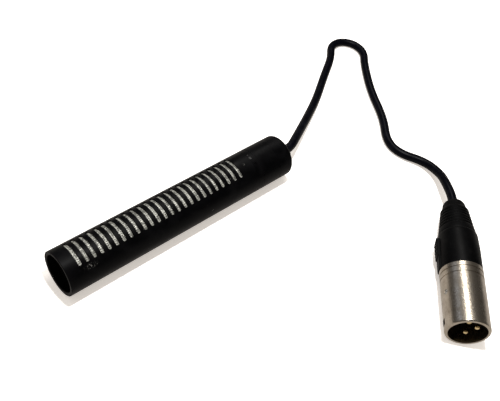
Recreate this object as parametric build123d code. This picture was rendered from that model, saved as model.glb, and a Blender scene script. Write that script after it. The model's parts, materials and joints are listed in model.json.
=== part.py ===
from build123d import *
from math import asin, cos, degrees, radians, sin, tan
import os

# Short shotgun microphone with a captive cable and a three-pin male plug.
# Millimetres, +Z up. The microphone lies along X on the plane z = 0, mouth towards -X,
# with the origin under the middle of the microphone. The cable and the plug lie on the same plane.

# Microphone body
tube_radius = 10.0
tube_wall = 0.6
body_length = 119.4            # mouth to the back of the end cap
slot_count = 25
slot_pitch = 3.44
slot_width = 1.6
slot_sweep = 77.0              # degrees of the tube's girth that one slot takes
first_slot = 6.6               # from the mouth to the middle of the first slot
body_roll = -1.0               # degrees that the slots lean over as the tube lies
ring_start = 97.7              # coupling ring between the slotted tube and the rear barrel
ring_end = 101.2
cap_start = 111.2
cap_round = 1.5
seam_edge = 0.12               # small bevel at the joints between tube, ring, barrel and cap
mouth_depth = 3.4              # length of the ring that holds the front grille
mouth_radius = 8.4
collar_radius = 4.6
collar_length = 4.1

# Cable
cable_radius = 2.2
cable_bore = cable_radius + 0.05
wire_radius = 0.45

# Plug, measured from its open front along its own axis
plug_front = (57.5, -117.5)
plug_turn = 43.0               # degrees from +X to the plug's axis, front to cable
shell_radius = 9.5
shell_bore = 8.2
shell_length = 29.9
insert_face = 14.5
insert_length = 9.5
pin_circle = 4.05
pin_radius = 1.2
pin_root = 1.5                 # the pins are thicker inside the insert
pin_tip = 2.2                  # pin tips stand this far inside the rim
key_angle = 192.0              # latch window's place round the shell, 0 is the plug's right
screw_turn = -73.0             # insert's set screw, round the axis from straight up
plug_length = 70.2
nut_end = 49.5                 # boot nut meets the ribbed sleeve
pad_depth = 2.6                # grip pad on the nut, in line with the latch window
pad_steps = ((33.9, 6.8, 9.75), (42.1, 9.6, 10.2))    # middle, length and top of its two steps
rib_start = 52.9
rib_pitch = 1.78
rib_count = 6

bore_radius = tube_radius - tube_wall
spigot_radius = bore_radius - 0.05
microphone_length = body_length + collar_length
on_floor = Pos(-microphone_length / 2, 0, tube_radius)
plug_place = Pos(*plug_front, shell_radius) * Rot(0, 0, plug_turn)
nodes = {}


def disc(start, end, outer, inner=0.0):
    """A disc or ring along X from start to end."""
    outline = Circle(outer) - Circle(inner) if inner else Circle(outer)
    return extrude(Plane.YZ.offset(start) * outline, amount=end - start)


def turned(points):
    """A solid of revolution about X from (x, radius) points."""
    return revolve(make_face(Polyline(*points, close=True)), Axis.X)


def round_edges(solid, at_x, radius, outer):
    """Fillets the circular edges at one end that have the radius outer."""
    rims = [e for e in solid.edges().filter_by(GeomType.CIRCLE)
            if abs(e.center().X - at_x) < 0.01 and abs(e.radius - outer) < 0.01]
    return fillet(rims, radius)


def chamfer_rim(solid, at_x, size, outer):
    rims = [e for e in solid.edges().filter_by(GeomType.CIRCLE)
            if abs(e.center().X - at_x) < 0.01 and abs(e.radius - outer) < 0.01]
    return chamfer(rims, size)


def spoke(x, angle, radius, low, high):
    """A small round bar that stands radially out from the X axis; angle 0 is up."""
    bar = extrude(Plane.XY.offset(low) * Circle(radius), amount=high - low)
    return Rot(angle, 0, 0) * Pos(x, 0, 0) * bar


def wire(points, radius, bends):
    """A thin wire along points, with one bend radius for all its corners."""
    path = FilletPolyline(*points, radius=bends)
    start = Plane(path @ 0, z_dir=path % 0)
    return sweep(start * Circle(radius), path=path)


# Slotted tube: two facing rows of slots and a chamfered rim, with the grille's ring in its mouth

def slot_cutter(x, side):
    end_turn = degrees(asin(slot_width / 2 / tube_radius))
    arc = slot_sweep - 2 * end_turn
    strip = Plane.XZ * Pos(x, tube_radius) * Rectangle(slot_width, 4 * tube_wall)
    first = side + body_roll - arc / 2
    band = Rot(first, 0, 0) * revolve(strip, Axis.X, arc)
    low, high = tube_radius - 2 * tube_wall, tube_radius + 2 * tube_wall
    ends = [spoke(x, turn, slot_width / 2, low, high) for turn in (first, first + arc)]
    return band + ends


def slotted_tube():
    tube = chamfer_rim(disc(0, ring_start, tube_radius, bore_radius), 0, 0.2, tube_radius)
    cutters = [slot_cutter(first_slot + i * slot_pitch, side)
               for i in range(slot_count) for side in (0, 180)]
    return tube - cutters


nodes["slotted_tube"] = slotted_tube()
mouth_ring = disc(0.1, mouth_depth, bore_radius - 0.05, mouth_radius)
nodes["grille_ring"] = chamfer_rim(mouth_ring, 0.1, 0.3, mouth_radius)
nodes["front_grille"] = disc(mouth_depth, mouth_depth + 0.5, bore_radius - 0.05)
nodes["mesh_sleeve"] = disc(mouth_depth + 0.7, 91.5, bore_radius - 0.05, bore_radius - 0.35)
nodes["damping_felt"] = disc(mouth_depth + 0.8, 76.5, bore_radius - 0.4, 7.2)

# Capsule, held in a rubber ring in the back of the slotted tube

capsule_start = 78.0
capsule_radius = 6.5
capsule = disc(capsule_start, 86.0, capsule_radius) - disc(capsule_start + 0.5, 86.0, 6.0)
nodes["capsule_case"] = capsule - disc(capsule_start, capsule_start + 0.5, 2.2)
holder = disc(77.0, 88.0, bore_radius - 0.4, capsule_radius + 0.05)
ports = [Rot(turn, 0, 0) * Pos(87.2, 0, 7.6) * Box(1.8, 3.0, 1.0) for turn in range(0, 360, 45)]
nodes["capsule_mount"] = holder - ports
nodes["diaphragm_ring"] = disc(78.6, 79.1, 5.9, 5.2)
nodes["diaphragm"] = disc(79.1, 79.25, 5.9)
nodes["spacer_ring"] = disc(79.25, 79.6, 5.9, 5.4)
plate_holes = [Rot(turn, 0, 0) * Pos(0, 0, 3.0) * disc(79.6, 80.8, 0.5) for turn in range(0, 360, 60)]
nodes["backplate"] = disc(79.6, 80.8, 5.0) - plate_holes
nodes["plate_holder"] = disc(79.6, 84.2, 5.9, 5.05)
nodes["capsule_board"] = disc(84.2, 85.0, 5.9)
nodes["capsule_transistor"] = Pos(83.55, 0, 0) * Box(1.2, 2.6, 2.6)

# Coupling ring, rear barrel and end cap

ring = disc(ring_start, ring_end, tube_radius) + disc(92.0, ring_end + 4.3, spigot_radius)
ring = ring - disc(92.0, ring_end + 4.3, 8.0)
mark_x = ring_start + 0.9
screw_angle = 2.0
notch_angle = 22.0
ring = ring - spoke(mark_x, screw_angle, 0.75, 8.6, 10.5)
notch = Rot(notch_angle, 0, 0) * Pos(mark_x, 0, tube_radius) * Box(1.4, 0.9, 0.7)
ring = chamfer_rim(ring - notch, ring_start, seam_edge, tube_radius)
nodes["coupling_ring"] = chamfer_rim(ring, ring_end, seam_edge, tube_radius)
lock_screw = spoke(mark_x, screw_angle, 0.7, 8.6, tube_radius - 0.1)
screw_slot = Rot(screw_angle, 0, 0) * Pos(mark_x, 0, tube_radius - 0.1) * Box(1.6, 0.25, 0.5)
nodes["lock_screw"] = lock_screw - screw_slot
nodes["rear_barrel"] = disc(ring_end, cap_start, tube_radius, bore_radius)

cap = disc(cap_start, body_length, tube_radius) + disc(cap_start - 4.0, cap_start, spigot_radius)
cap = cap - disc(cap_start - 4.0, body_length - 2.5, 8.0) - disc(body_length - 2.5, body_length, 3.0)
cap = chamfer_rim(cap, cap_start, seam_edge, tube_radius)
nodes["end_cap"] = round_edges(cap, body_length, cap_round, tube_radius)

# Cable collar on the end cap, the crimp behind it and the cable's end inside the microphone

collar = disc(body_length, microphone_length, collar_radius)
collar = collar + disc(body_length - 3.2, body_length, 2.95)
collar = round_edges(collar, microphone_length, 0.9, collar_radius)
nodes["cable_collar"] = collar - disc(body_length - 3.2, microphone_length, cable_bore)
cord_start = microphone_length - 2.5
nodes["inner_cable_end"] = disc(111.8, cord_start, cable_radius)
nodes["cable_crimp"] = disc(112.4, 115.4, 3.3, cable_bore)

# Circuit board with its parts, on two rails

board_start, board_end = 93.0, 110.0
board_middle = (board_start + board_end) / 2
nodes["circuit_board"] = Pos(board_middle, 0, 0) * Box(board_end - board_start, 13.0, 1.0)
rails = [Pos(board_middle, side * 7.0, 0) * Box(board_end - board_start, 0.9, 2.6) for side in (-1, 1)]
nodes["board_rails"] = Compound(children=rails)
nodes["output_transformer"] = Pos(103.0, 0, 3.0) * Box(7.0, 7.5, 5.0)
capacitors = [Pos(96.2, side * 2.6, 2.6) * Cylinder(1.8, 4.2) for side in (-1, 1)]
nodes["board_capacitors"] = Compound(children=capacitors)
chips = [Pos(x, y, -1.1) * Box(2.8, 1.8, 1.2) for x in (96.0, 101.0, 106.0) for y in (-3.2, 3.2)]
nodes["board_transistors"] = Compound(children=chips)
leads = [wire([(85.0, y, 0.0), (88.5, y, 0.0), (91.5, y, 0.5 + wire_radius),
               (94.2, y, 0.5 + wire_radius)], 0.3, 1.0) for y in (-1.2, 1.2)]
nodes["capsule_leads"] = Compound(children=leads)
tails = [wire([(111.8, y / 2, 0.3), (110.6, y / 2, 0.3), (109.4, y, 0.5 + wire_radius),
               (107.2, y, 0.5 + wire_radius)], wire_radius, 0.5) for y in (-2.4, 0.0, 2.4)]
nodes["microphone_wires"] = Compound(children=tails)

nodes = {name: on_floor * solid for name, solid in nodes.items()}

# Plug: metal shell, insert with three contact pins, boot nut and ribbed sleeve

pin_angles = (key_angle - 180, key_angle - 90, key_angle + 90)
plug = {}


def round_place(angle, radius):
    """Y and Z at an angle round the plug's axis, 0 on the right as seen into the open front."""
    return -radius * cos(radians(angle)), radius * sin(radians(angle))


def shell():
    body = disc(0, shell_length, shell_radius)
    body = round_edges(body, 0, 0.7, shell_radius)
    body = body - disc(0, 24.0, shell_bore) - disc(24.0, shell_length, 8.4)
    for x in (24.9, 27.7):
        body = body - disc(x - 0.25, x + 0.25, shell_radius + 1, shell_radius - 0.25)
    y, z = round_place(key_angle, shell_radius)
    window = Pos(4.0, y, z) * Rot(90 - key_angle, 0, 0) * Box(3.0, 3.6, 4.0)
    return body - window - spoke(16.7, screw_turn, 1.1, 7.0, 10.0)


def insert():
    body = disc(insert_face, insert_face + insert_length, shell_bore - 0.05)
    for angle in pin_angles:
        y, z = round_place(angle, pin_circle)
        body = body - Pos(0, y, z) * disc(insert_face, insert_face + insert_length, pin_root + 0.02)
    groove = Pos(insert_face + 3.0, 0, -shell_bore) * Box(6.0, 3.4, 1.2)
    return chamfer_rim(body, insert_face, 0.4, shell_bore - 0.05) - groove


def contact_pins():
    pins = []
    for angle in pin_angles:
        y, z = round_place(angle, pin_circle)
        pin = round_edges(disc(pin_tip, insert_face, pin_radius), pin_tip, 0.7, pin_radius)
        pin = pin + disc(insert_face, 28.0, pin_root) - disc(25.5, 28.0, 0.8)
        pins.append(Pos(0, y, z) * pin)
    return Compound(children=pins)


def boot_nut():
    body = turned([(24.6, 8.35), (24.6, 5.8), (54.0, 5.8), (54.0, 6.9), (nut_end, 6.9),
                   (nut_end, 9.0), (40.0, 9.4), (shell_length, 9.4), (shell_length, 8.35)])
    for middle, length, top in pad_steps:
        pad = Pos(middle, 0, top - pad_depth / 2) * Box(length, 6.0, pad_depth)
        pad = chamfer(pad.edges().group_by(Axis.Z)[-1], 0.5)
        body = body + Rot(90 - key_angle, 0, 0) * pad
    return body


def boot_sleeve():
    outline = [(nut_end, 6.95), (nut_end, 8.6), (rib_start - 1.0, 8.3), (64.2, 6.6), (64.7, 5.8),
               (68.6, 5.2), (plug_length, 3.9), (plug_length, cable_bore), (58.0, cable_bore),
               (54.2, 6.95)]
    body = turned(outline)
    for i in range(rib_count):
        x = rib_start + (i + 0.5) * rib_pitch
        radius = 8.3 - (x - rib_start + 1.0) * 1.7 / (64.2 - rib_start + 1.0)
        body = body - disc(x - 0.35, x + 0.35, radius + 1, radius - 0.35)
    return body


def cable_chuck():
    body = turned([(33.0, cable_bore), (33.0, 5.6), (42.0, 5.6), (46.0, 3.6), (46.0, cable_bore)])
    for turn in (0, 90):
        body = body - Rot(turn, 0, 0) * Pos(41.0, 0, 0) * Box(10.2, 0.8, 12.0)
    return body


plug["plug_shell"] = shell()
plug["plug_insert"] = insert()
plug["contact_pins"] = contact_pins()
plug["ground_spring"] = Pos(insert_face + 3.0, 0, -7.95) * Box(5.6, 3.0, 0.25)
grub = spoke(16.7, screw_turn, 1.05, shell_bore, shell_radius - 0.2)
grub_slot = Rot(screw_turn, 0, 0) * Pos(16.7, 0, shell_radius) * Box(0.35, 2.4, 1.0)
plug["insert_screw"] = grub - grub_slot
plug["boot_nut"] = boot_nut()
plug["boot_sleeve"] = boot_sleeve()
plug["cable_chuck"] = cable_chuck()
cord_end = plug_length - 2.8
plug["plug_cable_end"] = disc(31.8, cord_end, cable_radius)
gather = 0.28                  # the wires close in on the cable's middle to this share of the pin circle
plug_wires = []
for angle in pin_angles:
    y, z = round_place(angle, pin_circle)
    inner_y, inner_z = gather * y, gather * z
    plug_wires.append(wire([(26.5, y, z), (28.6, y, z), (30.6, inner_y, inner_z),
                            (31.8, inner_y, inner_z)], wire_radius, 0.5))
plug["plug_wires"] = Compound(children=plug_wires)
nodes.update({name: plug_place * solid for name, solid in plug.items()})

# Cable: out of the collar, down to the plane, round one open bend and up into the plug

along = Vector(cos(radians(plug_turn)), sin(radians(plug_turn)), 0)
front = Vector(*plug_front, shell_radius)
floor_height = cable_radius
route = [
    Vector(cord_start - microphone_length / 2, 0, tube_radius),
    Vector(65.2, 0, tube_radius),
    Vector(74.5, 4.7, 8.8),
    Vector(91.0, 13.4, 5.2),
    Vector(108.5, 22.9, 2.7),
    Vector(127.7, 35.4, floor_height),
    Vector(142.6, 44.5, floor_height),
    Vector(149.0, 51.6, floor_height),
    Vector(157.5, 52.0, floor_height),
    Vector(163.6, 45.9, floor_height),
    Vector(163.2, 37.3, floor_height),
    Vector(155.5, 30.0, floor_height),
    Vector(141.4, 12.0, floor_height),
    Vector(131.3, -6.8, floor_height),
    Vector(119.8, -19.1, floor_height),
    Vector(118.6, -28.9, floor_height),
    Vector(125.5, -40.7, 2.7),
    Vector(123.5, -51.5, 5.2),
    Vector(117.1, -59.3, 8.6),
    front + along * 73.7,
    front + along * cord_end,
]


def corner_radii(points):
    radii = []
    for before, corner, after in zip(points, points[1:], points[2:]):
        half_turn = radians((corner - before).get_angle(after - corner)) / 2
        shorter = min((corner - before).length, (after - corner).length)
        radii.append(0.45 * shorter / tan(half_turn))
    return radii


radii = corner_radii(route)
cable_path = FilletPolyline(*route, radius=radii)
cable_section = Plane(cable_path @ 0, z_dir=cable_path % 0) * Circle(cable_radius)
nodes["cable"] = sweep(cable_section, path=cable_path)
print("cable corner radii", [round(r, 1) for r in radii])
print("cable length", round(cable_path.length, 1),
      "volume over section times length",
      round(nodes["cable"].volume / (Circle(cable_radius).area * cable_path.length), 4))

os.makedirs("parts", exist_ok=True)
for name, solid in nodes.items():
    export_step(solid, f"parts/{name}.step")
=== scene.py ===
import json
import math

import bpy
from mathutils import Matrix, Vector


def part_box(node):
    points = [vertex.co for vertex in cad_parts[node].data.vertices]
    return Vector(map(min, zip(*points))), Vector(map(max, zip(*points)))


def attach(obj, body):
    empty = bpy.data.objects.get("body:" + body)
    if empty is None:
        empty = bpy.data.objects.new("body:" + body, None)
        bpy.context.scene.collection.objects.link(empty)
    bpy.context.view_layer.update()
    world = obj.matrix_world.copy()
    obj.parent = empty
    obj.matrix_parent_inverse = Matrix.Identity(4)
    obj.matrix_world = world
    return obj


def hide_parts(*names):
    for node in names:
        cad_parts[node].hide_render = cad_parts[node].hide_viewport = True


# Looks of a short shotgun microphone: slotted black tube over bright mesh,
# captive cable and a metal three-pin plug, lying on a pale table.

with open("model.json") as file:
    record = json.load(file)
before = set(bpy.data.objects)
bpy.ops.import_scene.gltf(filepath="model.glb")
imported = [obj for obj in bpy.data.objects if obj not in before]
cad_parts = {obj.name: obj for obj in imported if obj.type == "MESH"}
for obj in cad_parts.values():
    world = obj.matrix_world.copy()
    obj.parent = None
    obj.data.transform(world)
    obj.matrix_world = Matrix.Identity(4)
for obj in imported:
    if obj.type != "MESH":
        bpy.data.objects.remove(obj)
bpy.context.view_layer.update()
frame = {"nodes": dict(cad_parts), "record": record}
cadNodes = frame["nodes"]
print("frame loaded:", len(cadNodes), "nodes")


def millimetres(*values):
    return tuple(value * 0.001 for value in values)


def deselectAll():
    if bpy.context.object and bpy.context.object.mode != "OBJECT":
        bpy.ops.object.mode_set(mode="OBJECT")
    bpy.ops.object.select_all(action="DESELECT")


# Camera

cameraView = {
    "place": (-0.13809, -0.14075, 0.25161),
    "turn": (39.81, -9.59, -41.18),      # degrees
    "lens": 51.4,
}


def addCamera():
    turn = [math.radians(angle) for angle in cameraView["turn"]]
    bpy.ops.object.camera_add(location=cameraView["place"], rotation=turn)
    camera = bpy.context.object
    camera.name = "camera"
    camera.data.lens = cameraView["lens"]
    camera.data.clip_start = 0.01
    bpy.context.scene.camera = camera


addCamera()
print("camera placed")

# Cable: the route's own points, drawn as one smooth line

cableDesign = {
    "diameter": 0.0044,
    "length": 0.26,
    "alongSteps": 14,
    "roundSteps": 7,
    "route": [
        (0.05925, 0.0, 0.01), (0.0652, 0.0, 0.01), (0.0745, 0.0047, 0.0088),
        (0.091, 0.0134, 0.0052), (0.1085, 0.0229, 0.0027), (0.1277, 0.0354, 0.0022),
        (0.1426, 0.0445, 0.0022), (0.149, 0.0516, 0.0022), (0.1575, 0.052, 0.0022),
        (0.1636, 0.0459, 0.0022), (0.1632, 0.0373, 0.0022), (0.1555, 0.03, 0.0022),
        (0.1414, 0.012, 0.0022), (0.1313, -0.0068, 0.0022), (0.1198, -0.0191, 0.0022),
        (0.1186, -0.0289, 0.0022), (0.1255, -0.0407, 0.0027), (0.1235, -0.0515, 0.0052),
        (0.1171, -0.0593, 0.0086), (0.111401, -0.067237, 0.0095),
        (0.106793, -0.071533, 0.0095),
    ],
}


def addCable():
    line = bpy.data.curves.new("microphoneCable", "CURVE")
    line.dimensions = "3D"
    spline = line.splines.new("NURBS")
    spline.points.add(len(cableDesign["route"]) - 1)
    for point, place in zip(spline.points, cableDesign["route"]):
        point.co = (*place, 1.0)
    spline.order_u = 3
    spline.use_endpoint_u = True
    line.resolution_u = cableDesign["alongSteps"]
    line.bevel_depth = cableDesign["diameter"] / 2
    line.bevel_resolution = cableDesign["roundSteps"]
    line.use_fill_caps = True
    cable = bpy.data.objects.new("microphoneCable", line)
    bpy.context.scene.collection.objects.link(cable)
    return cable


cable = addCable()
print("cable laid")


# Shared shading effects

effectDesign = {
    "grainSpread": 0.06,                 # scale of the wide noise beside the fine one
    "speckSpread": 0.12,
    "speckLimit": 0.56,                  # noise above this is a chip when the amount is 0
    "speckGain": 0.2,                    # how far the amount brings that down
    "speckEdge": 0.015,
    "markStretch": (60.0, 1.2, 1.2),     # along the axis, then across it
    "wireLift": 0.35,                    # how far a wire rises where it passes over another
    "weaveGap": (0.82, 0.55),            # heights between which a gap opens
}


def newGroup(name, inputs, outputs):
    group = bpy.data.node_groups.new(name, "ShaderNodeTree")
    for label, kind, value in inputs:
        socket = group.interface.new_socket(name=label, in_out="INPUT", socket_type=kind)
        socket.default_value = value
    for label, kind in outputs:
        group.interface.new_socket(name=label, in_out="OUTPUT", socket_type=kind)
    return group, group.nodes.new("NodeGroupInput"), group.nodes.new("NodeGroupOutput")


def addNode(tree, kind, links=(), **values):
    node = tree.nodes.new(kind)
    for label, value in values.items():
        setattr(node, label, value)
    for socket, source in dict(links).items():
        if hasattr(source, "links"):
            tree.links.new(source, node.inputs[socket])
        else:
            node.inputs[socket].default_value = source
    return node


def calculate(tree, operation, *sources):
    node = addNode(tree, "ShaderNodeMath", operation=operation)
    for socket, source in zip(node.inputs, sources):
        if hasattr(source, "links"):
            tree.links.new(source, socket)
        else:
            socket.default_value = source
    return node.outputs[0]


def makeGrain():
    # fine even grain, such as blasted metal or moulded plastic
    group, given, result = newGroup(
        "fineGrain",
        [("Scale", "NodeSocketFloat", 3000.0), ("Detail", "NodeSocketFloat", 3.0)],
        [("Height", "NodeSocketFloat"), ("Spread", "NodeSocketFloat")])
    place = addNode(group, "ShaderNodeTexCoord")
    fine = addNode(group, "ShaderNodeTexNoise", {
        "Vector": place.outputs["Object"], "Scale": given.outputs["Scale"],
        "Detail": given.outputs["Detail"], "Roughness": 0.6})
    wideScale = calculate(group, "MULTIPLY", given.outputs["Scale"], effectDesign["grainSpread"])
    wide = addNode(group, "ShaderNodeTexNoise", {
        "Vector": place.outputs["Object"], "Scale": wideScale, "Detail": 4.0})
    group.links.new(fine.outputs["Fac"], result.inputs["Height"])
    group.links.new(wide.outputs["Fac"], result.inputs["Spread"])
    return group


def makeStains():
    # uneven patches with soft edges, for tarnish, handling marks and dust
    group, given, result = newGroup(
        "patchyStains",
        [("Scale", "NodeSocketFloat", 200.0), ("From", "NodeSocketFloat", 0.45),
         ("To", "NodeSocketFloat", 0.62)],
        [("Mask", "NodeSocketFloat")])
    place = addNode(group, "ShaderNodeTexCoord")
    patches = addNode(group, "ShaderNodeTexNoise", {
        "Vector": place.outputs["Object"], "Scale": given.outputs["Scale"],
        "Detail": 6.0, "Roughness": 0.62, "Distortion": 0.6})
    shaped = addNode(group, "ShaderNodeMapRange", {
        "Value": patches.outputs["Fac"], "From Min": given.outputs["From"],
        "From Max": given.outputs["To"]})
    group.links.new(shaped.outputs["Result"], result.inputs["Mask"])
    return group


def makeSpecks():
    # small sharp chips that are rare, gathered where a wide noise is high
    look = effectDesign
    group, given, result = newGroup(
        "wornSpecks",
        [("Scale", "NodeSocketFloat", 900.0), ("Amount", "NodeSocketFloat", 0.5)],
        [("Mask", "NodeSocketFloat")])
    place = addNode(group, "ShaderNodeTexCoord")
    chips = addNode(group, "ShaderNodeTexNoise", {
        "Vector": place.outputs["Object"], "Scale": given.outputs["Scale"],
        "Detail": 3.0, "Roughness": 0.7, "Distortion": 1.2})
    wideScale = calculate(group, "MULTIPLY", given.outputs["Scale"], look["speckSpread"])
    where = addNode(group, "ShaderNodeTexNoise", {
        "Vector": place.outputs["Object"], "Scale": wideScale, "Detail": 2.0})
    both = calculate(group, "MULTIPLY", chips.outputs["Fac"], where.outputs["Fac"])
    gain = calculate(group, "MULTIPLY", given.outputs["Amount"], look["speckGain"])
    limit = calculate(group, "SUBTRACT", look["speckLimit"], gain)
    shaped = addNode(group, "ShaderNodeMapRange", {
        "Value": both, "From Min": limit,
        "From Max": calculate(group, "ADD", limit, look["speckEdge"])})
    group.links.new(shaped.outputs["Result"], result.inputs["Mask"])
    return group


def makeToolMarks():
    # rings left by a cutting tool round an axis that lies level, turned from +X
    group, given, result = newGroup(
        "toolMarks",
        [("Turn", "NodeSocketVector", (0.0, 0.0, 0.0)), ("Scale", "NodeSocketFloat", 60.0)],
        [("Height", "NodeSocketFloat")])
    place = addNode(group, "ShaderNodeTexCoord")
    lengthwise = addNode(group, "ShaderNodeMapping", {
        "Vector": place.outputs["Object"], "Rotation": given.outputs["Turn"]})
    rings = addNode(group, "ShaderNodeVectorMath", {
        0: lengthwise.outputs["Vector"], 1: effectDesign["markStretch"]}, operation="MULTIPLY")
    noise = addNode(group, "ShaderNodeTexNoise", {
        "Vector": rings.outputs["Vector"], "Scale": given.outputs["Scale"], "Detail": 3.0})
    group.links.new(noise.outputs["Fac"], result.inputs["Height"])
    return group


def makeWeave():
    # plain woven wire on a tube round the X axis, at the given height over the table
    group, given, result = newGroup(
        "wireWeave",
        [("Pitch", "NodeSocketFloat", 0.0005), ("Radius", "NodeSocketFloat", 0.009),
         ("Centre", "NodeSocketFloat", 0.01)],
        [("Height", "NodeSocketFloat"), ("Gap", "NodeSocketFloat")])
    place = addNode(group, "ShaderNodeTexCoord")
    split = addNode(group, "ShaderNodeSeparateXYZ", {"Vector": place.outputs["Object"]})
    rise = calculate(group, "SUBTRACT", split.outputs["Z"], given.outputs["Centre"])
    angle = calculate(group, "ARCTAN2", split.outputs["Y"], rise)
    girth = calculate(group, "MULTIPLY", angle, given.outputs["Radius"])
    across = calculate(group, "DIVIDE", girth, given.outputs["Pitch"])
    along = calculate(group, "DIVIDE", split.outputs["X"], given.outputs["Pitch"])
    acrossWave = calculate(group, "SINE", calculate(group, "MULTIPLY", across, math.pi))
    alongWave = calculate(group, "SINE", calculate(group, "MULTIPLY", along, math.pi))
    over = calculate(group, "MULTIPLY", acrossWave, alongWave)
    lift = calculate(group, "MULTIPLY", over, effectDesign["wireLift"])
    lengthWires = calculate(group, "ADD", calculate(group, "ABSOLUTE", acrossWave), lift)
    girthWires = calculate(group, "SUBTRACT", calculate(group, "ABSOLUTE", alongWave), lift)
    height = calculate(group, "MAXIMUM", lengthWires, girthWires)
    closed, opened = effectDesign["weaveGap"]
    gap = addNode(group, "ShaderNodeMapRange", {
        "Value": height, "From Min": closed, "From Max": opened})
    group.links.new(height, result.inputs["Height"])
    group.links.new(gap.outputs["Result"], result.inputs["Gap"])
    return group


effects = {
    "grain": makeGrain(),
    "stains": makeStains(),
    "specks": makeSpecks(),
    "toolMarks": makeToolMarks(),
    "weave": makeWeave(),
}
print("shading effects ready")


# Finishes; a row of stains is its scale, where it begins and where it is full

def startFinish(name, metallic, specular=0.5, coat=0.0, coatRoughness=0.2):
    material = bpy.data.materials.new(name)
    material.use_nodes = True
    shader = material.node_tree.nodes["Principled BSDF"]
    shader.inputs["Metallic"].default_value = metallic
    shader.inputs["Specular IOR Level"].default_value = specular
    shader.inputs["Coat Weight"].default_value = coat
    shader.inputs["Coat Roughness"].default_value = coatRoughness
    return material, material.node_tree, shader


def placeEffect(tree, effect, **values):
    node = addNode(tree, "ShaderNodeGroup", node_tree=effects[effect])
    for label, value in values.items():
        node.inputs[label].default_value = value
    return node


def placeStains(tree, scale, start, full):
    return placeEffect(tree, "stains", Scale=scale, From=start, To=full)


def mixColours(tree, mask, first, second):
    mix = addNode(tree, "ShaderNodeMix", data_type="RGBA")
    for socket, source in ((mix.inputs[0], mask), (mix.inputs[6], first), (mix.inputs[7], second)):
        if hasattr(source, "links"):
            tree.links.new(source, socket)
        else:
            socket.default_value = (*source, 1.0)
    return mix.outputs[2]


def spreadRoughness(tree, shader, mask, low, high):
    span = addNode(tree, "ShaderNodeMapRange", {"Value": mask, "To Min": low, "To Max": high})
    tree.links.new(span.outputs["Result"], shader.inputs["Roughness"])


def addBump(tree, shader, height, strength, distance):
    bump = addNode(tree, "ShaderNodeBump", {
        "Height": height, "Strength": strength, "Distance": distance})
    tree.links.new(bump.outputs["Normal"], shader.inputs["Normal"])


plainDesign = {
    "stainSpread": 0.1,                  # scale of the stains beside the grain
    "relief": 0.6,
}

plainFinishes = {
    # colour, second colour, metallic, roughness from and to, grain scale, bump depth in metres
    "felt": ((0.014, 0.014, 0.015), (0.008, 0.008, 0.009), 0.0, 0.85, 0.98, 1600.0, 0.0002),
    "bare_aluminium": ((0.72, 0.72, 0.73), (0.58, 0.58, 0.6), 1.0, 0.22, 0.4, 2600.0, 0.00001),
    "brass": ((0.75, 0.55, 0.26), (0.6, 0.42, 0.2), 1.0, 0.2, 0.38, 1800.0, 0.00001),
    "film": ((0.72, 0.66, 0.48), (0.62, 0.56, 0.4), 0.6, 0.12, 0.25, 900.0, 0.000005),
    "capacitor": ((0.02, 0.035, 0.09), (0.03, 0.05, 0.12), 0.0, 0.25, 0.4, 1500.0, 0.00001),
    "blackened_steel": ((0.006, 0.006, 0.006), (0.012, 0.011, 0.01), 0.3, 0.45, 0.6, 2200.0,
                        0.00001),
    "steel": ((0.55, 0.55, 0.54), (0.36, 0.35, 0.33), 1.0, 0.25, 0.45, 2200.0, 0.00001),
    "wire_insulation": ((0.55, 0.05, 0.04), (0.42, 0.035, 0.03), 0.0, 0.3, 0.45, 2000.0, 0.00001),
}


def makePlainFinish(name):
    colour, second, metallic, low, high, scale, depth = plainFinishes[name]
    material, tree, shader = startFinish(name, metallic)
    grain = placeEffect(tree, "grain", Scale=scale)
    stains = placeEffect(tree, "stains", Scale=scale * plainDesign["stainSpread"])
    tree.links.new(mixColours(tree, stains.outputs["Mask"], colour, second),
                   shader.inputs["Base Color"])
    spreadRoughness(tree, shader, grain.outputs["Spread"], low, high)
    addBump(tree, shader, grain.outputs["Height"], plainDesign["relief"], depth)
    return material


anodisedDesign = {
    "colour": (0.0007, 0.0007, 0.0009),
    "handled": (0.0022, 0.0021, 0.0024),
    "bareMetal": (0.3, 0.295, 0.275),
    "roughness": (0.34, 0.48),
    "specular": 0.035,
    "grainScale": 5200.0,
    "grainDepth": 0.000012,
    "relief": 0.7,
    "handling": (90.0, 0.42, 0.68),
    "chipScale": 1500.0,
    "chips": 0.42,
    "markScale": 38.0,
    "markShare": 0.5,
    "scrapes": (2400.0, 0.58, 0.64),
    "worn": (-0.0518, -0.0076, 0.0166),  # a scraped spot under the first slots
    "wornReach": 0.0021,
    "wornHeart": 0.3,                    # share of the reach that is scraped most
    "wornStretch": (0.55, 1.6, 1.6),     # longer along the tube than round it
}


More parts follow.
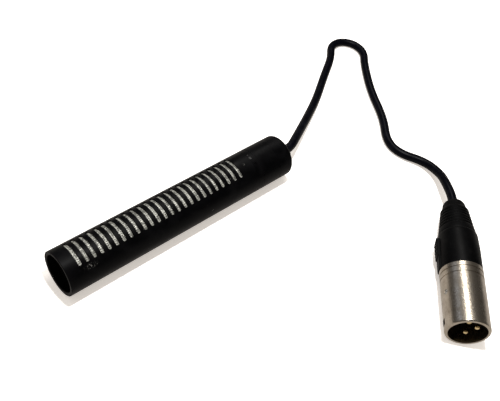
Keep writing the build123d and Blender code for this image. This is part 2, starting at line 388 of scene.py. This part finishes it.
def makeAnodised():
    look = anodisedDesign
    material, tree, shader = startFinish("blackAnodised", 0.0, look["specular"])
    grain = placeEffect(tree, "grain", Scale=look["grainScale"])
    handled = placeStains(tree, *look["handling"])
    chips = placeEffect(tree, "specks", Scale=look["chipScale"], Amount=look["chips"])
    marks = placeEffect(tree, "toolMarks", Scale=look["markScale"])
    scrapes = placeStains(tree, *look["scrapes"])
    place = addNode(tree, "ShaderNodeTexCoord")
    offset = addNode(tree, "ShaderNodeVectorMath", {
        0: place.outputs["Object"], 1: look["worn"]}, operation="SUBTRACT")
    stretched = addNode(tree, "ShaderNodeVectorMath", {
        0: offset.outputs["Vector"], 1: look["wornStretch"]}, operation="MULTIPLY")
    away = addNode(tree, "ShaderNodeVectorMath", {0: stretched.outputs["Vector"]},
                   operation="LENGTH")
    nearby = addNode(tree, "ShaderNodeMapRange", {
        "Value": away.outputs["Value"], "From Min": look["wornReach"],
        "From Max": look["wornReach"] * look["wornHeart"]})
    scraped = calculate(tree, "MULTIPLY", scrapes.outputs["Mask"], nearby.outputs["Result"])
    bare = calculate(tree, "MAXIMUM", chips.outputs["Mask"], scraped)
    dark = mixColours(tree, handled.outputs["Mask"], look["colour"], look["handled"])
    tree.links.new(mixColours(tree, bare, dark, look["bareMetal"]),
                   shader.inputs["Base Color"])
    spreadRoughness(tree, shader, handled.outputs["Mask"], *look["roughness"])
    height = calculate(tree, "ADD", grain.outputs["Height"],
                       calculate(tree, "MULTIPLY", marks.outputs["Height"], look["markShare"]))
    addBump(tree, shader, height, look["relief"], look["grainDepth"])
    return material


meshDesign = {
    "wire": (0.37, 0.37, 0.33),
    "dullWire": (0.11, 0.11, 0.096),
    "gap": (0.03, 0.03, 0.027),
    "pitch": 0.0009,
    "radius": 0.00935,
    "centre": 0.01,
    "metallic": 0.25,
    "stains": (850.0, 0.45, 0.57),
    "roughness": (0.38, 0.55),
    "relief": 0.8,
    "wireDepth": 0.00012,
}


def makeSilverMesh():
    look = meshDesign
    material, tree, shader = startFinish("silverMesh", look["metallic"])
    weave = placeEffect(tree, "weave", Pitch=look["pitch"], Radius=look["radius"],
                        Centre=look["centre"])
    stains = placeStains(tree, *look["stains"])
    wires = mixColours(tree, stains.outputs["Mask"], look["wire"], look["dullWire"])
    tree.links.new(mixColours(tree, weave.outputs["Gap"], wires, look["gap"]),
                   shader.inputs["Base Color"])
    spreadRoughness(tree, shader, stains.outputs["Mask"], *look["roughness"])
    addBump(tree, shader, weave.outputs["Height"], look["relief"], look["wireDepth"])
    return material


nickelDesign = {
    "colour": (0.47, 0.42, 0.35),
    "tarnish": (0.2, 0.16, 0.115),
    "roughness": (0.27, 0.38),
    "relief": 0.7,
    "pits": 0.00009,
    "turn": (0.0, 0.0, math.radians(-43.0)),
    "wideStains": (170.0, 0.4, 0.72),
    "wideShare": 0.55,
    "fineStains": (900.0, 0.46, 0.72),
    "fineShare": 0.35,
    "grainScale": 1150.0,
    "markScale": 34.0,
    "markShare": 0.25,
}


def makeNickel():
    look = nickelDesign
    material, tree, shader = startFinish("satinNickel", 1.0)
    wide = placeStains(tree, *look["wideStains"])
    fine = placeStains(tree, *look["fineStains"])
    grain = placeEffect(tree, "grain", Scale=look["grainScale"], Detail=2.0)
    marks = placeEffect(tree, "toolMarks", Turn=look["turn"], Scale=look["markScale"])
    both = calculate(tree, "ADD",
                     calculate(tree, "MULTIPLY", wide.outputs["Mask"], look["wideShare"]),
                     calculate(tree, "MULTIPLY", fine.outputs["Mask"], look["fineShare"]))
    tree.links.new(mixColours(tree, both, look["colour"], look["tarnish"]),
                   shader.inputs["Base Color"])
    spreadRoughness(tree, shader, both, *look["roughness"])
    height = calculate(tree, "ADD", grain.outputs["Height"],
                       calculate(tree, "MULTIPLY", marks.outputs["Height"], look["markShare"]))
    addBump(tree, shader, height, look["relief"], look["pits"])
    return material


pinDesign = {
    "gold": (0.72, 0.56, 0.3),
    "worn": (0.42, 0.32, 0.17),
    "roughness": (0.12, 0.28),
    "wear": (700.0, 0.4, 0.7),
    "grainScale": 2600.0,
    "relief": 0.4,
    "grainDepth": 0.000006,
}


def makeGoldPins():
    look = pinDesign
    material, tree, shader = startFinish("goldPins", 1.0)
    worn = placeStains(tree, *look["wear"])
    grain = placeEffect(tree, "grain", Scale=look["grainScale"])
    tree.links.new(mixColours(tree, worn.outputs["Mask"], look["gold"], look["worn"]),
                   shader.inputs["Base Color"])
    spreadRoughness(tree, shader, worn.outputs["Mask"], *look["roughness"])
    addBump(tree, shader, grain.outputs["Height"], look["relief"], look["grainDepth"])
    return material


jacketDesign = {
    "colour": (0.0008, 0.0009, 0.0022),
    "scuffed": (0.0028, 0.003, 0.0055),
    "dust": (0.045, 0.045, 0.05),
    "specular": 0.05,
    "roughness": (0.34, 0.5),
    "scuffs": (260.0, 0.46, 0.75),
    "dustScale": 1900.0,
    "dustAmount": 0.36,
    "grainScale": 3000.0,
    "relief": 0.6,
    "grainDepth": 0.00002,
}


def makeJacket():
    look = jacketDesign
    material, tree, shader = startFinish("cableJacket", 0.0, look["specular"])
    scuffs = placeStains(tree, *look["scuffs"])
    dust = placeEffect(tree, "specks", Scale=look["dustScale"], Amount=look["dustAmount"])
    grain = placeEffect(tree, "grain", Scale=look["grainScale"])
    dark = mixColours(tree, scuffs.outputs["Mask"], look["colour"], look["scuffed"])
    tree.links.new(mixColours(tree, dust.outputs["Mask"], dark, look["dust"]),
                   shader.inputs["Base Color"])
    spreadRoughness(tree, shader, scuffs.outputs["Mask"], *look["roughness"])
    addBump(tree, shader, grain.outputs["Height"], look["relief"], look["grainDepth"])
    return material


bootDesign = {
    "colour": (0.0007, 0.0007, 0.0008),
    "scuffed": (0.0025, 0.0024, 0.0024),
    "dust": (0.04, 0.039, 0.037),
    "specular": 0.05,
    "roughness": (0.34, 0.52),
    "rubberRoughness": (0.46, 0.64),
    "wireRoughness": (0.3, 0.45),
    "scuffs": (240.0, 0.48, 0.78),
    "dustScale": 1700.0,
    "dustAmount": 0.34,
    "grainScale": 3600.0,
    "relief": 0.7,
    "grainDepth": 0.000018,
}


def makeBootFinish(name, roughness):
    look = bootDesign
    material, tree, shader = startFinish(name, 0.0, look["specular"])
    scuffs = placeStains(tree, *look["scuffs"])
    dust = placeEffect(tree, "specks", Scale=look["dustScale"], Amount=look["dustAmount"])
    grain = placeEffect(tree, "grain", Scale=look["grainScale"])
    dark = mixColours(tree, scuffs.outputs["Mask"], look["colour"], look["scuffed"])
    tree.links.new(mixColours(tree, dust.outputs["Mask"], dark, look["dust"]),
                   shader.inputs["Base Color"])
    spreadRoughness(tree, shader, grain.outputs["Spread"], *roughness)
    addBump(tree, shader, grain.outputs["Height"], look["relief"], look["grainDepth"])
    return material


boardDesign = {
    "mask": (0.015, 0.12, 0.045),
    "trace": (0.03, 0.2, 0.08),
    "lacquer": (0.3, 0.15),              # coat and how rough it is
    "trackScale": 420.0,
    "trackWidth": 0.09,
    "trackDepth": 0.00003,
    "relief": 0.5,
    "grainScale": 2600.0,
    "roughness": (0.3, 0.42),
}


def makeBoard():
    # green lacquer with faint straight tracks under it
    look = boardDesign
    coat, coatRoughness = look["lacquer"]
    material, tree, shader = startFinish("circuitBoard", 0.0, 0.5, coat, coatRoughness)
    place = addNode(tree, "ShaderNodeTexCoord")
    tracks = addNode(tree, "ShaderNodeTexBrick", {
        "Vector": place.outputs["Object"], "Scale": look["trackScale"],
        "Mortar Size": look["trackWidth"],
        "Color1": (0, 0, 0, 1), "Color2": (0, 0, 0, 1), "Mortar": (1, 1, 1, 1)})
    grain = placeEffect(tree, "grain", Scale=look["grainScale"])
    tree.links.new(mixColours(tree, tracks.outputs["Fac"], look["mask"], look["trace"]),
                   shader.inputs["Base Color"])
    spreadRoughness(tree, shader, grain.outputs["Spread"], *look["roughness"])
    addBump(tree, shader, tracks.outputs["Fac"], look["relief"], look["trackDepth"])
    return material


finishes = {name: makePlainFinish(name) for name in plainFinishes}
finishes["black_anodised"] = makeAnodised()
finishes["silver_mesh"] = makeSilverMesh()
finishes["satin_nickel"] = makeNickel()
finishes["gold_pins"] = makeGoldPins()
finishes["cable_jacket"] = makeJacket()
finishes["boot_plastic"] = makeBootFinish("bootPlastic", bootDesign["roughness"])
finishes["boot_rubber"] = makeBootFinish("bootRubber", bootDesign["rubberRoughness"])
finishes["rubber"] = makeBootFinish("softRubber", bootDesign["rubberRoughness"])
finishes["black_plastic"] = makeBootFinish("blackPlastic", bootDesign["roughness"])
finishes["circuit_board"] = makeBoard()
finishes["black_mesh"] = makeBootFinish("grilleWire", bootDesign["wireRoughness"])
print("finishes ready:", len(finishes))

for part in frame["record"]["subparts"]:
    node = cadNodes[part["node"]]
    if not node.material_slots:
        node.data.materials.append(None)
    for materialSlot in node.material_slots:
        materialSlot.material = finishes[part["material_slot"]]
print("finishes on the frame's own nodes")


# Turned pieces of the plug

plugPlace = {
    "front": millimetres(57.5, -117.5, 9.5),
    "turn": 43.0,                        # degrees from +X to the plug's axis
    "weld": 0.000002,
}


def turnOnLathe(name, stations, sides):
    # a ring drawn out through its stations and closed on itself
    # each station is a distance and a radius in millimetres
    deselectAll()
    bpy.ops.mesh.primitive_circle_add(vertices=sides, radius=stations[0][1] * 0.001,
                                      location=millimetres(0, 0, stations[0][0]))
    piece = bpy.context.object
    piece.name = name
    piece.data.name = name
    bpy.ops.object.transform_apply(location=True, rotation=True, scale=True)
    bpy.ops.object.mode_set(mode="EDIT")
    bpy.ops.mesh.select_all(action="SELECT")
    loop = stations[1:] + stations[:1]
    for (before, lastRadius), (distance, radius) in zip(stations, loop):
        step = millimetres(0, 0, distance - before)
        bpy.ops.mesh.extrude_region_move(TRANSFORM_OT_translate={"value": step})
        size = radius / lastRadius
        bpy.ops.transform.resize(value=(size, size, 1),
                                 center_override=millimetres(0, 0, distance))
    bpy.ops.mesh.select_all(action="SELECT")
    bpy.ops.mesh.remove_doubles(threshold=plugPlace["weld"])
    bpy.ops.mesh.normals_make_consistent(inside=False)
    bpy.ops.object.mode_set(mode="OBJECT")
    return piece


def smoothPiece(piece, degrees):
    deselectAll()
    piece.select_set(True)
    bpy.context.view_layer.objects.active = piece
    bpy.ops.object.shade_smooth_by_angle(angle=math.radians(degrees))


def putOnPlug(piece):
    deselectAll()
    piece.select_set(True)
    bpy.context.view_layer.objects.active = piece
    piece.rotation_euler = (0.0, math.radians(90.0), math.radians(plugPlace["turn"]))
    piece.location = plugPlace["front"]
    bpy.ops.object.transform_apply(location=True, rotation=True, scale=True)


def finishPiece(piece, finish, slotName, *replaced):
    piece.data.materials.clear()
    piece.data.materials.append(finishes[finish])
    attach(piece, "root")
    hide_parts(*replaced)


nutDesign = {
    # millimetres along the plug and out from its axis, and degrees
    "sides": 128,
    "smooth": 30.0,
    "profile": [
        (29.9, 8.6), (29.9, 9.15), (30.0, 9.32), (30.25, 9.4), (40.0, 9.4), (41.6, 9.37),
        (43.2, 9.31), (48.6, 9.06), (49.2, 8.98), (49.45, 8.82), (49.5, 8.6), (49.5, 7.0),
        (49.5, 6.9), (54.0, 6.9), (54.0, 5.8), (24.6, 5.8), (24.6, 8.35), (29.9, 8.35),
    ],
    "padDepth": 2.6,
    "padWidth": 6.0,
    "padSteps": [(34.4, 7.8, 9.75), (42.1, 9.6, 10.2)],  # middle, length and height of each
    "padTurn": 192.0,                    # round the nut, 0 on the plug's right
    "padEdge": 0.6,
    "padSmooth": 40.0,
    "ridges": 4,
    "ridgePitch": 1.9,
    "ridgeSize": (0.4, 4.2),             # radius and length
    "ridgeSunk": 0.14,                   # its axis under the top of the pad
    "ridgeEdge": 0.1,
    "ridgeSides": 20,
}


def addBootNut():
    look = nutDesign
    nut = turnOnLathe("bootNut", look["profile"], look["sides"])
    smoothPiece(nut, look["smooth"])
    putOnPlug(nut)
    finishPiece(nut, "boot_plastic", "boot_plastic", "boot_nut")
    return nut


def addPadBlock(middle, length, top):
    # a soft-edged block on +Z over the plug's axis
    look = nutDesign
    deselectAll()
    bpy.ops.mesh.primitive_cube_add(size=0.001)
    block = bpy.context.object
    block.scale = (length, look["padWidth"], look["padDepth"])
    block.location = millimetres(middle, 0, top - look["padDepth"] / 2)
    bpy.ops.object.transform_apply(location=True, rotation=True, scale=True)
    bpy.ops.object.mode_set(mode="EDIT")
    bpy.ops.mesh.select_all(action="SELECT")
    bpy.ops.mesh.bevel(offset=look["padEdge"] * 0.001, segments=4, profile=0.6,
                       affect="EDGES")
    bpy.ops.object.mode_set(mode="OBJECT")
    return block


def addGripPad():
    # a low step next to the shell, then a prouder one with cross ridges
    look = nutDesign
    blocks = [addPadBlock(*step) for step in look["padSteps"]]
    middle, _, top = look["padSteps"][-1]
    radius, depth = millimetres(*look["ridgeSize"])
    for count in range(look["ridges"]):
        along = middle + (count - (look["ridges"] - 1) / 2) * look["ridgePitch"]
        place = millimetres(along, 0, top - look["ridgeSunk"])
        bpy.ops.mesh.primitive_cylinder_add(vertices=look["ridgeSides"], radius=radius,
                                            depth=depth, location=place,
                                            rotation=(math.radians(90), 0, 0))
        ridge = bpy.context.object
        bpy.ops.object.transform_apply(location=True, rotation=True, scale=True)
        bpy.ops.object.mode_set(mode="EDIT")
        bpy.ops.mesh.select_all(action="SELECT")
        bpy.ops.mesh.bevel(offset=look["ridgeEdge"] * 0.001, segments=2, affect="EDGES")
        bpy.ops.object.mode_set(mode="OBJECT")
        blocks.append(ridge)
    deselectAll()
    for block in blocks:
        block.select_set(True)
    pad = blocks[0]
    bpy.context.view_layer.objects.active = pad
    bpy.ops.object.join()
    pad.name = "gripPad"
    pad.data.name = "gripPad"
    smoothPiece(pad, look["padSmooth"])
    pad.rotation_euler = (math.radians(90.0 - look["padTurn"]), 0, 0)   # round to its side
    bpy.ops.object.transform_apply(location=True, rotation=True, scale=True)
    pad.rotation_euler = (0, 0, math.radians(plugPlace["turn"]))
    pad.location = plugPlace["front"]
    bpy.ops.object.transform_apply(location=True, rotation=True, scale=True)
    pad.data.materials.clear()
    pad.data.materials.append(finishes["boot_rubber"])
    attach(pad, "root")
    return pad


bootSleeveDesign = {
    "sides": 112,
    "smooth": 40.0,
    "ribStart": 52.9,
    "ribPitch": 1.78,
    "ribs": 6,
    "grooveDepth": 0.42,
    # share of a pitch, and share of the groove's depth
    "groove": [(0.0, 0.0), (0.22, 0.12), (0.36, 0.75), (0.5, 1.0), (0.64, 0.75), (0.78, 0.12)],
    "taper": (51.9, 8.3, 1.7 / 12.3),    # where it starts, its radius there and its slope
    "start": [(49.5, 8.2), (49.55, 8.45), (49.75, 8.6), (50.4, 8.58), (51.9, 8.33)],
    "end": [(64.15, 6.62), (64.5, 6.45), (64.75, 6.05), (65.0, 5.8), (66.8, 5.52), (68.2, 5.26),
            (69.0, 4.95), (69.7, 4.45), (70.1, 4.0), (70.2, 3.6), (70.2, 2.4), (69.9, 2.25),
            (58.0, 2.25), (54.2, 6.95), (49.5, 6.95)],
}


def addBootSleeve():
    look = bootSleeveDesign
    stations = list(look["start"])
    taperStart, taperRadius, slope = look["taper"]
    for rib in range(look["ribs"]):
        for share, cut in look["groove"]:
            distance = look["ribStart"] + (rib + share) * look["ribPitch"]
            radius = taperRadius - (distance - taperStart) * slope
            stations.append((distance, radius - cut * look["grooveDepth"]))
    sleeve = turnOnLathe("bootSleeve", stations + look["end"], look["sides"])
    smoothPiece(sleeve, look["smooth"])
    putOnPlug(sleeve)
    finishPiece(sleeve, "boot_rubber", "rubber", "boot_sleeve")
    return sleeve


bootNut = addBootNut()
gripPad = addGripPad()
bootSleeve = addBootSleeve()
print("boot nut, grip pad and sleeve turned")


# Front grille: a net of fine wires in the mouth

grilleDesign = {
    "radius": 9.2,
    "cells": 26,
    "sides": 32,
    "smooth": 30.0,
    "wire": 0.26,                        # thickness
    "place": 3.65,                       # behind the rim of the mouth
    "height": 10.0,
}


def addFrontGrille():
    look = grilleDesign
    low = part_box("slotted_tube")[0]
    deselectAll()
    bpy.ops.mesh.primitive_grid_add(x_subdivisions=look["cells"], y_subdivisions=look["cells"],
                                    size=look["radius"] * 0.002)
    net = bpy.context.object
    net.name = "frontGrilleNet"
    net.data.name = "frontGrilleNet"
    # the square net is cut down to the round mouth
    bpy.ops.object.mode_set(mode="EDIT")
    bpy.ops.mesh.select_all(action="SELECT")
    sides = look["sides"]
    for count in range(sides):
        turn = 2 * math.pi * count / sides
        direction = (math.cos(turn), math.sin(turn), 0.0)
        reach = look["radius"] * 0.001 * math.cos(math.pi / sides)
        bpy.ops.mesh.select_all(action="SELECT")
        bpy.ops.mesh.bisect(plane_co=[reach * d for d in direction], plane_no=direction,
                            clear_outer=True, threshold=0.0000001)
    bpy.ops.object.mode_set(mode="OBJECT")
    wires = net.modifiers.new("wires", "WIREFRAME")
    wires.thickness = look["wire"] * 0.001
    wires.use_boundary = True
    wires.use_even_offset = False
    bpy.ops.object.modifier_apply(modifier="wires")
    net.rotation_euler = (0, math.radians(-90), 0)
    net.location = (low.x + look["place"] * 0.001, 0, look["height"] * 0.001)
    bpy.ops.object.transform_apply(location=True, rotation=True, scale=True)
    smoothPiece(net, look["smooth"])
    finishPiece(net, "black_mesh", "black_mesh", "front_grille")


addFrontGrille()
print("front grille woven")

# The cable takes its finish last

cable.data.materials.append(finishes["cable_jacket"])
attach(cable, "root")
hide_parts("cable")


# Table and light

tableDesign = {
    "size": 6.0,                         # metres
    "colour": (0.94, 0.936, 0.93),
    "secondColour": (0.92, 0.915, 0.908),
    "specular": 0.15,
    "grainScale": 400.0,
    "roughness": (0.75, 0.85),
    "mirrored": (0.2, 0.19, 0.18),       # how pale it looks in glossy surfaces
    "glow": (0.42, 0.39, 0.36),          # light that the pale table keeps in the shadows
    "farGlow": (0.85, 0.85, 0.85),
    "glowReach": (0.24, 0.75),           # from the middle, where the far glow begins and is full
}


def addTable():
    look = tableDesign
    deselectAll()
    bpy.ops.mesh.primitive_plane_add(size=look["size"], location=(0, 0, 0))
    table = bpy.context.object
    table.name = "table"
    material, tree, shader = startFinish("paleTable", 0.0, look["specular"])
    paper = placeEffect(tree, "grain", Scale=look["grainScale"])
    pale = mixColours(tree, paper.outputs["Spread"], look["colour"], look["secondColour"])
    path = addNode(tree, "ShaderNodeLightPath")
    tree.links.new(mixColours(tree, path.outputs["Is Glossy Ray"], pale, look["mirrored"]),
                   shader.inputs["Base Color"])
    spreadRoughness(tree, shader, paper.outputs["Spread"], *look["roughness"])
    place = addNode(tree, "ShaderNodeTexCoord")
    away = addNode(tree, "ShaderNodeVectorMath", {0: place.outputs["Object"]}, operation="LENGTH")
    nearest, furthest = look["glowReach"]
    far = addNode(tree, "ShaderNodeMapRange", {
        "Value": away.outputs["Value"], "From Min": nearest, "From Max": furthest})
    tree.links.new(mixColours(tree, far.outputs["Result"], look["glow"], look["farGlow"]),
                   shader.inputs["Emission Color"])
    shader.inputs["Emission Strength"].default_value = 1.0
    table.data.materials.append(material)


lightDesign = {
    "overhead": {"place": (0.01, -0.02, 0.5), "aim": (0.02, -0.03, 0.0), "size": (0.022, 0.022),
                 "power": 2.5, "colour": (1.0, 0.99, 0.98)},
    "behind": {"place": (0.255, 0.21, 0.48), "aim": (0.08, -0.1, 0.0), "size": (0.085, 0.36),
               "power": 1.45, "colour": (1.0, 0.98, 0.95)},
    "window": {"place": (0.02, 0.6, 0.4), "aim": (0.0, 0.0, 0.0), "size": (0.6, 0.2),
               "power": 0.25, "colour": (0.75, 0.83, 1.0)},
    "roomSeen": 1.15,                    # behind the table's edge
    "roomFill": 0.5,                     # on plain surfaces
    "roomGloss": 0.07,                   # in glossy ones
    "roomColour": (1.0, 0.935, 0.86),
}


def addLight(name):
    look = lightDesign[name]
    bpy.ops.object.light_add(type="AREA", location=look["place"])
    lamp = bpy.context.object
    lamp.name = name
    lamp.data.shape = "RECTANGLE"
    lamp.data.size, lamp.data.size_y = look["size"]
    lamp.data.energy = look["power"]
    lamp.data.color = look["colour"]
    away = Vector(look["aim"]) - Vector(look["place"])
    lamp.rotation_euler = away.to_track_quat("-Z", "Y").to_euler()


def lightRoom():
    room = bpy.data.worlds.new("room")
    bpy.context.scene.world = room
    room.use_nodes = True
    tree = room.node_tree
    background = tree.nodes["Background"]
    background.inputs["Color"].default_value = (*lightDesign["roomColour"], 1.0)
    path = addNode(tree, "ShaderNodeLightPath")
    gloss = addNode(tree, "ShaderNodeMix", data_type="FLOAT")
    tree.links.new(path.outputs["Is Glossy Ray"], gloss.inputs[0])
    gloss.inputs[2].default_value = lightDesign["roomFill"]
    gloss.inputs[3].default_value = lightDesign["roomGloss"]
    seen = addNode(tree, "ShaderNodeMix", data_type="FLOAT")
    tree.links.new(path.outputs["Is Camera Ray"], seen.inputs[0])
    tree.links.new(gloss.outputs[0], seen.inputs[2])
    seen.inputs[3].default_value = lightDesign["roomSeen"]
    tree.links.new(seen.outputs[0], background.inputs["Strength"])


addTable()
addLight("overhead")
addLight("behind")
addLight("window")
lightRoom()
bpy.context.scene.view_settings.view_transform = "Standard"
print("table and lights set")
